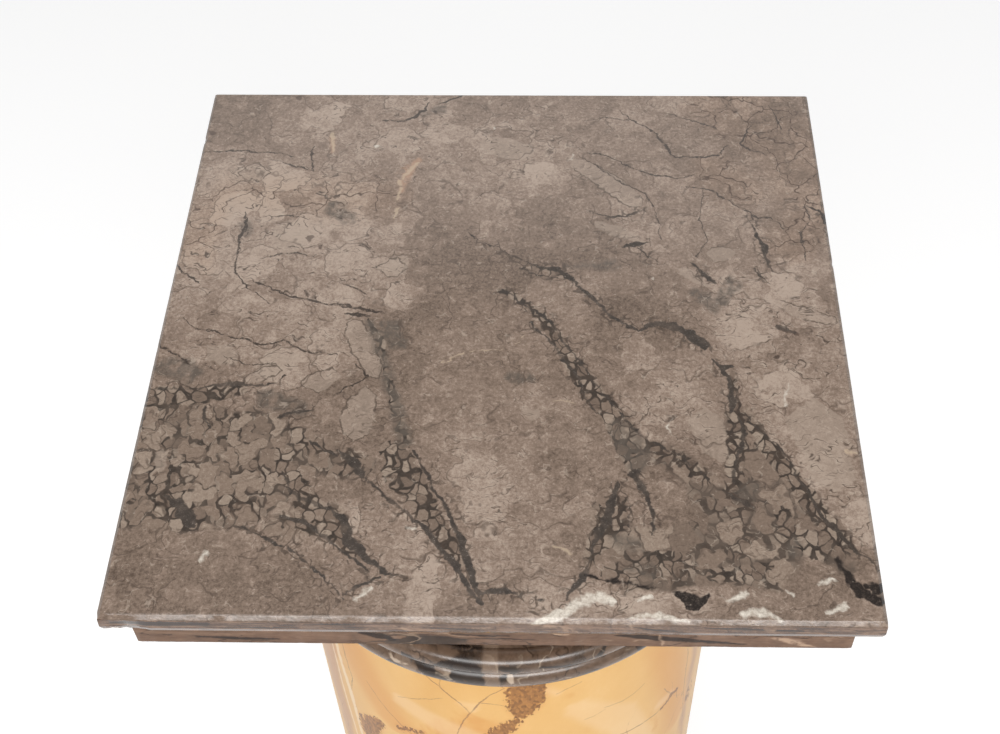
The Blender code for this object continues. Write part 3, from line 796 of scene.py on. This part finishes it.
def siena_marble():
    """The shaft: yellow marble with ochre clouds, brown grainy patches and thin grey-violet lines, and a
    painted reflection and a painted highlight near its outlines.
    """
    stone = Stone("siena_marble_shaft")
    here = stone.here
    height = stone.height()
    front = stone.warp(stone.place(stone.around(), height), 7.0, 2.6, 3.0, 0.0)
    upright = stone.vector("MULTIPLY", here, (1.0, 1.0, 0.5))
    ragged = stone.noise(upright, 3.2, 3.0, 0.65)
    grain = stone.noise(upright, 1.3, 2.0, 0.7)
    below = stone.step(height, -225.0, -270.0)
    tilted = stone.vector("MULTIPLY", stone.warp(here, 60.0, 40.0, 2.0), (1.0, 1.0, 0.6))
    clouds = stone.noise(tilted, 70.0, 3.0, 0.5)
    tone = clouds * 1.1 + ragged * 0.12 + grain * 0.16 - 0.2
    stone.colour = stone.ramp(tone, SIENA)
    stray = stone.noise(tilted, 52.0, 4.0, 0.6)
    orange = stone.step(stone.routes(front, SHAFT_ORANGES), 12.0, -8.0).most(stone.step(stray, 0.44, 0.34))
    stone.paint(orange * 0.6, display(212, 146, 70))
    # Pinkish strips near both outlines: painted reflection.
    painted_reflection = stone.step(stone.routes(front, SHAFT_PAINTED_REFLECTIONS) + (stray - 0.5) * 30.0, 5.0, -5.0)
    stone.paint(painted_reflection * 0.7, display(184, 134, 100))
    blush = stone.step(stone.routes(front, SHAFT_PALES), 5.0, -4.0)
    stone.paint(blush * 0.4, display(236, 202, 156))
    # A pale line near the left outline: painted highlight.
    painted_highlight = stone.step(stone.routes(front, SHAFT_PAINTED_HIGHLIGHTS), 0.8, -0.8)
    stone.paint(painted_highlight * 0.8, display(240, 212, 174))

    # Brown patches: solid grains that thin out at the rim
    patch = stone.routes(front, SHAFT_BROWNS).least((0.665 - stray) * 90.0 + (1.0 - below) * 30.0)
    crumbs = stone.cells(upright, 1.3, "F1")
    solid = stone.step(patch + (ragged - 0.5) * 9.0 + (stone.chance(crumbs) - 0.5) * 3.0, 0.9, -0.6)
    stone.paint(stone.step(patch, 5.0, -2.0) * 0.35, display(206, 136, 64))
    brown = stone.mix(stone.chance(crumbs), display(112, 68, 28), display(172, 116, 56))
    stone.paint(solid * 0.9, brown)

    broken_up = stone.step(ragged, 0.34, 0.55)
    hair = stone.step(stone.routes(front, SHAFT_HAIRS), 0.3, -0.35) * (broken_up * 0.6 + 0.4)
    stone.paint(hair * 0.7, display(128, 82, 58))
    net = stone.step(stone.cells(tilted, 62.0) * 62.0, 0.42, 0.0) * stone.step(clouds, 0.44, 0.56)
    stone.paint(net * broken_up * below * 0.7, display(130, 86, 62))
    return stone.finish(grain * 0.1 + 0.28, grain, 0.015 * MM, 0.12)


def square_stone(half, profile):
    """Draws a square ring up and inwards through a profile of inset and height, and closes both ends."""
    bm = bmesh.new()
    bmesh.ops.create_grid(bm, x_segments=1, y_segments=1, size=half - profile[0][0])
    bmesh.ops.translate(bm, verts=bm.verts, vec=(0.0, 0.0, profile[0][1]))
    bmesh.ops.subdivide_edges(bm, edges=bm.edges[:], cuts=EDGE_STEPS - 1)
    bmesh.ops.reverse_faces(bm, faces=bm.faces[:])
    rim = bm.edges[:]
    for (inset0, height0), (inset1, height1) in zip(profile, profile[1:]):
        grown = bmesh.ops.extrude_edge_only(bm, edges=rim)["geom"]
        ring = [g for g in grown if isinstance(g, bmesh.types.BMVert)]
        rim = [g for g in grown if isinstance(g, bmesh.types.BMEdge) and g.is_boundary]
        factor = (half - inset1) / (half - inset0)
        bmesh.ops.scale(bm, vec=(factor, factor, 1.0), verts=ring)
        bmesh.ops.translate(bm, verts=ring, vec=(0.0, 0.0, height1 - height0))
    bmesh.ops.contextual_create(bm, geom=rim)
    bmesh.ops.recalc_face_normals(bm, faces=bm.faces)
    return bm


def corner_round(profile, index, radius):
    """A small round in place of a corner, with a point beside each end that keeps the faces flat."""
    before, corner, after = (Vector(p) for p in profile[index - 1:index + 2])
    start = corner + (before - corner).normalized() * radius
    end = corner + (after - corner).normalized() * radius
    steps = [i / ROUND_STEPS for i in range(ROUND_STEPS + 1)]
    turn = [start * (1 - t) ** 2 + corner * 2 * t * (1 - t) + end * t * t for t in steps]
    held = [start + (start - corner) * 0.3, *turn, end + (end - corner) * 0.3]
    return [tuple(point) for point in held]


def eased(profile, radius):
    """The profile with every corner but its ends rounded."""
    points = [profile[0]]
    for index in range(1, len(profile) - 1):
        points += corner_round(profile, index, radius)
    return points + [profile[-1]]


def wear(bm, half, corners, depth, seed, chips=()):
    """Wears the arrises: a light unevenness all along, and single chips of x, y, z, size and bite in mm."""
    for vert in bm.verts:
        inset = half - max(abs(vert.co.x), abs(vert.co.y))
        if inset > WORN_ZONE:
            continue
        near = min(math.hypot(inset - corner[0], vert.co.z - corner[1]) for corner in corners)
        spot = vert.co / (4 * MM) + Vector((seed, seed, seed))
        coarse = max(0.0, noise.noise(spot) * 0.9 + noise.noise(spot * 3.1) * 0.5)
        end = max(0.0, min(abs(vert.co.x), abs(vert.co.y)) / half - 0.98) / 0.02
        push = depth * (coarse + 1.5 * end ** 2) * max(0.0, 1 - near / WEAR_REACH)
        for x, y, z, size, bite in chips:
            gap = (vert.co - Vector((x, y, z)) * MM).length / (size * MM)
            if gap < 1.0:
                push += bite * MM * (1 - gap * gap) * (0.75 + 0.5 * noise.noise(spot * 2.0))
        inward = Vector((-vert.co.x, -vert.co.y, 0.0)).normalized() * push
        upper = vert.co.z > corners[-1][1] - WORN_ZONE
        vert.co += inward + Vector((0.0, 0.0, -0.4 * push if upper else 0.4 * push))


def added(name, data):
    """A new object in the scene."""
    made = bpy.data.objects.new(name, data)
    bpy.context.scene.collection.objects.link(made)
    return made


def shown(name, bm, node, material, slot):
    """Makes a finished mesh a piece that stands for its CAD node."""
    mesh = bpy.data.meshes.new(name)
    bm.to_mesh(mesh)
    bm.free()
    mesh.shade_smooth()
    mesh.set_sharp_from_angle(angle=SHARP_ANGLE)
    piece = added(name, mesh)
    piece.data.materials.append(material)
    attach(piece, "root")
    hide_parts(node)


def arc(centre, radii, start, end, points=ARC_POINTS):
    """Points of an arc in the profile's plane, from one angle to the other, in degrees."""
    angles = [math.radians(start + (end - start) * i / (points - 1)) for i in range(points)]
    return [(centre[0] + radii[0] * math.cos(a), centre[1] + radii[1] * math.sin(a)) for a in angles]


def turned(profile):
    """Turns a profile of radius and height about +Z."""
    bm = bmesh.new()
    verts = [bm.verts.new((radius, 0.0, height)) for radius, height in profile]
    edges = [bm.edges.new(pair) for pair in zip(verts, verts[1:])]
    bmesh.ops.spin(bm, geom=verts + edges, cent=(0, 0, 0), axis=(0, 0, 1), angle=math.tau, steps=SIDES,
                   use_merge=True, use_duplicate=False)
    bmesh.ops.remove_doubles(bm, verts=bm.verts, dist=0.01 * MM)
    bmesh.ops.recalc_face_normals(bm, faces=bm.faces)
    return bm


def make_top_slab():
    low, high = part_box("top_slab")
    half = high.x
    ease, ease_height = SLAB_LOWER_EASE
    profile = [(4 * MM, low.z), (ease, low.z), (0.0, low.z + ease_height), (0.0, high.z - SLAB_CHAMFER),
               (SLAB_CHAMFER, high.z), (4 * MM, high.z)]
    bm = square_stone(half, eased(profile, ARRIS))
    chips = ((-117, -170, 1098, 2.5, 0.4), (-169, -170, 1098, 4, 0.9), (-160, -170, 1088, 12, 1.6),
             (-60, -170, 1098, 1.6, 0.25), (92, -170, 1098, 1.8, 0.3), (169, -170, 1098, 1.8, 0.4),
             (170, 40, 1098, 2, 0.3), (-170, 131, 1098, 3, 0.5), (-20, 170, 1098, 2, 0.3))
    wear(bm, half, profile[1:-1], 0.12 * MM, 3.0, chips)
    shown("worn_top_slab", bm, "top_slab", slab_marble(), "breccia_marble")


def make_block(name, node, ease, material, seed):
    low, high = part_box(node)
    half = high.x
    profile = [(5 * MM, low.z), (ease * 0.35, low.z), (0.0, low.z + ease * 0.35), (0.0, high.z - ease),
               (ease, high.z), (5 * MM, high.z)]
    bm = square_stone(half, eased(profile, ARRIS))
    wear(bm, half, profile[1:-1], 0.2 * MM, seed)
    shown(name, bm, node, material, "breccia_marble")


def make_shaft():
    low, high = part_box("shaft")
    profile = [(0.0, high.z), (SHAFT_RADIUS, high.z), (SHAFT_RADIUS, low.z), (0.0, low.z)]
    shown("siena_shaft", turned(profile), "shaft", siena_marble(), "siena_marble")


def make_capital(material):
    low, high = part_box("capital")
    top = high.z
    radius = high.x
    fascia = top - 7.5 * MM
    ovolo_foot = radius - 22 * MM
    collar = ovolo_foot - 2 * MM
    neck = SHAFT_RADIUS - 2.5 * MM
    cove = collar - neck
    collar_foot = fascia - 29 * MM
    upper = low.z + 3 * REED_RADIUS + REED_GAP
    start = 180 - math.degrees(math.acos((REED_CENTRE_RADIUS - neck) / REED_RADIUS))
    profile = [(0.0, top), (radius, top), (radius, fascia)]
    profile += arc((ovolo_foot, fascia), (20 * MM, 24 * MM), 0, -90)
    profile += [(collar, fascia - 24 * MM)]
    profile += arc((collar, collar_foot - cove), (cove, cove), 90, 180, 6)
    profile += arc((REED_CENTRE_RADIUS, upper), (REED_RADIUS, REED_RADIUS), start, -90, 20)
    profile += arc((REED_CENTRE_RADIUS, low.z + REED_RADIUS), (REED_RADIUS, REED_RADIUS), 90, -90, 18)
    profile += [(0.0, low.z)]
    shown("turned_capital", turned(profile), "capital", material, "dark_breccia_marble")


def make_base(material):
    low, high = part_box("base")
    foot, top = low.z, high.z
    radius = high.x
    torus = 22 * MM
    torus_centre = radius - torus
    fillet = radius - 13 * MM
    start = math.degrees(math.acos((fillet - torus_centre) / torus))
    torus_top = foot + torus * (1 + math.sin(math.radians(start)))
    fillet_top = torus_top + 6 * MM
    scotia_foot = fillet - 1.5 * MM
    scotia_top = fillet_top + 20 * MM
    upper = SHAFT_RADIUS + 3.5 * MM
    profile = [(0.0, top)]
    profile += arc((REED_CENTRE_RADIUS, top - REED_RADIUS), (REED_RADIUS, REED_RADIUS), 90, -90, 18)
    profile += [(upper, top - 2 * REED_RADIUS)]
    profile += arc((scotia_foot, scotia_top), (scotia_foot - upper, 20 * MM), 180, 270)
    profile += [(fillet, fillet_top)]
    profile += arc((torus_centre, foot + torus), (torus, torus), start, -90, 24)
    profile += [(0.0, foot)]
    shown("turned_base", turned(profile), "base", material, "dark_breccia_marble")


def make_camera():
    data = bpy.data.cameras.new("camera")
    data.sensor_width = 36.0
    data.lens = CAMERA_LENS
    data.shift_x, data.shift_y = CAMERA_SHIFT
    camera = added("camera", data)
    turn = Matrix.Rotation(CAMERA_TURN, 4, "Z") @ Matrix.Rotation(math.pi / 2 - CAMERA_DOWN, 4, "X")
    camera.matrix_world = Matrix.Translation(CAMERA_PLACE) @ turn @ Matrix.Rotation(CAMERA_ROLL, 4, "Z")
    bpy.context.scene.camera = camera


def softbox(name, place, aim, size, power):
    data = bpy.data.lights.new(name, "AREA")
    data.shape = "RECTANGLE"
    data.size, data.size_y = size
    data.energy = power
    light = added(name, data)
    light.visible_camera = False
    light.location = place
    light.rotation_euler = (Vector(aim) - Vector(place)).to_track_quat("-Z", "Y").to_euler()


def make_studio():
    world = bpy.data.worlds.new("studio")
    bpy.context.scene.world = world
    world.use_nodes = True
    world.node_tree.nodes["Background"].inputs["Color"].default_value = (1.0, 1.0, 1.0, 1.0)
    world.node_tree.nodes["Background"].inputs["Strength"].default_value = 0.35
    bpy.context.scene.view_settings.view_transform = "Standard"
    softbox("front_softbox", (0.04, -1.88, 2.48), (0, -0.17, 1.1), (1.9, 0.8), 45)
    softbox("top_softbox", (-0.2, 0.0, 3.2), (0, 0, 1.0), (1.4, 1.2), 22)
    softbox("back_softbox", (0.0, 2.6, 3.0), (0, 0, 1.1), (4.5, 1.3), 18)
    bm = bmesh.new()
    bmesh.ops.create_grid(bm, x_segments=1, y_segments=1, size=6.0)
    mesh = bpy.data.meshes.new("floor")
    bm.to_mesh(mesh)
    bm.free()
    floor = added("floor", mesh)
    paint = bpy.data.materials.new("pale_floor")
    paint.use_nodes = True
    shader = paint.node_tree.nodes["Principled BSDF"]
    shader.inputs["Base Color"].default_value = (0.9, 0.9, 0.9, 1.0)
    shader.inputs["Roughness"].default_value = 0.8
    shader.inputs["Emission Color"].default_value = (1.0, 1.0, 1.0, 1.0)
    shader.inputs["Emission Strength"].default_value = 0.32
    mesh.materials.append(paint)


make_camera()
make_top_slab()
brown = display(228, 203, 184)
tan = display(250, 238, 226)
abacus_marble = plain_breccia("breccia_abacus", (310, 70, 40), -0.06, (0.4, 0.4, 1.5), brown, 0.1,
                              BLOCK_DARKS, BLOCK_PALES, BLOCK_WHITES)
make_block("worn_abacus", "abacus", BLOCK_EASE, abacus_marble, 9.0)
plinth_marble = plain_breccia("breccia_plinth", (40, 500, 10), 0.02, (0.7, 0.7, 1.2), brown, 0.3)
make_block("worn_plinth", "plinth", PLINTH_EASE, plinth_marble, 21.0)
ring_marble = plain_breccia("breccia_capital", (800, 120, 60), 0.06, (0.8, 0.8, 1.1), tan, 0.6,
                            RING_DARKS, RING_PALES, RING_WHITES)
base_marble = plain_breccia("breccia_base", (90, 820, 30), 0.06, (0.7, 0.7, 1.2), tan, 0.5)
make_capital(ring_marble)
make_base(base_marble)
make_shaft()
make_studio()
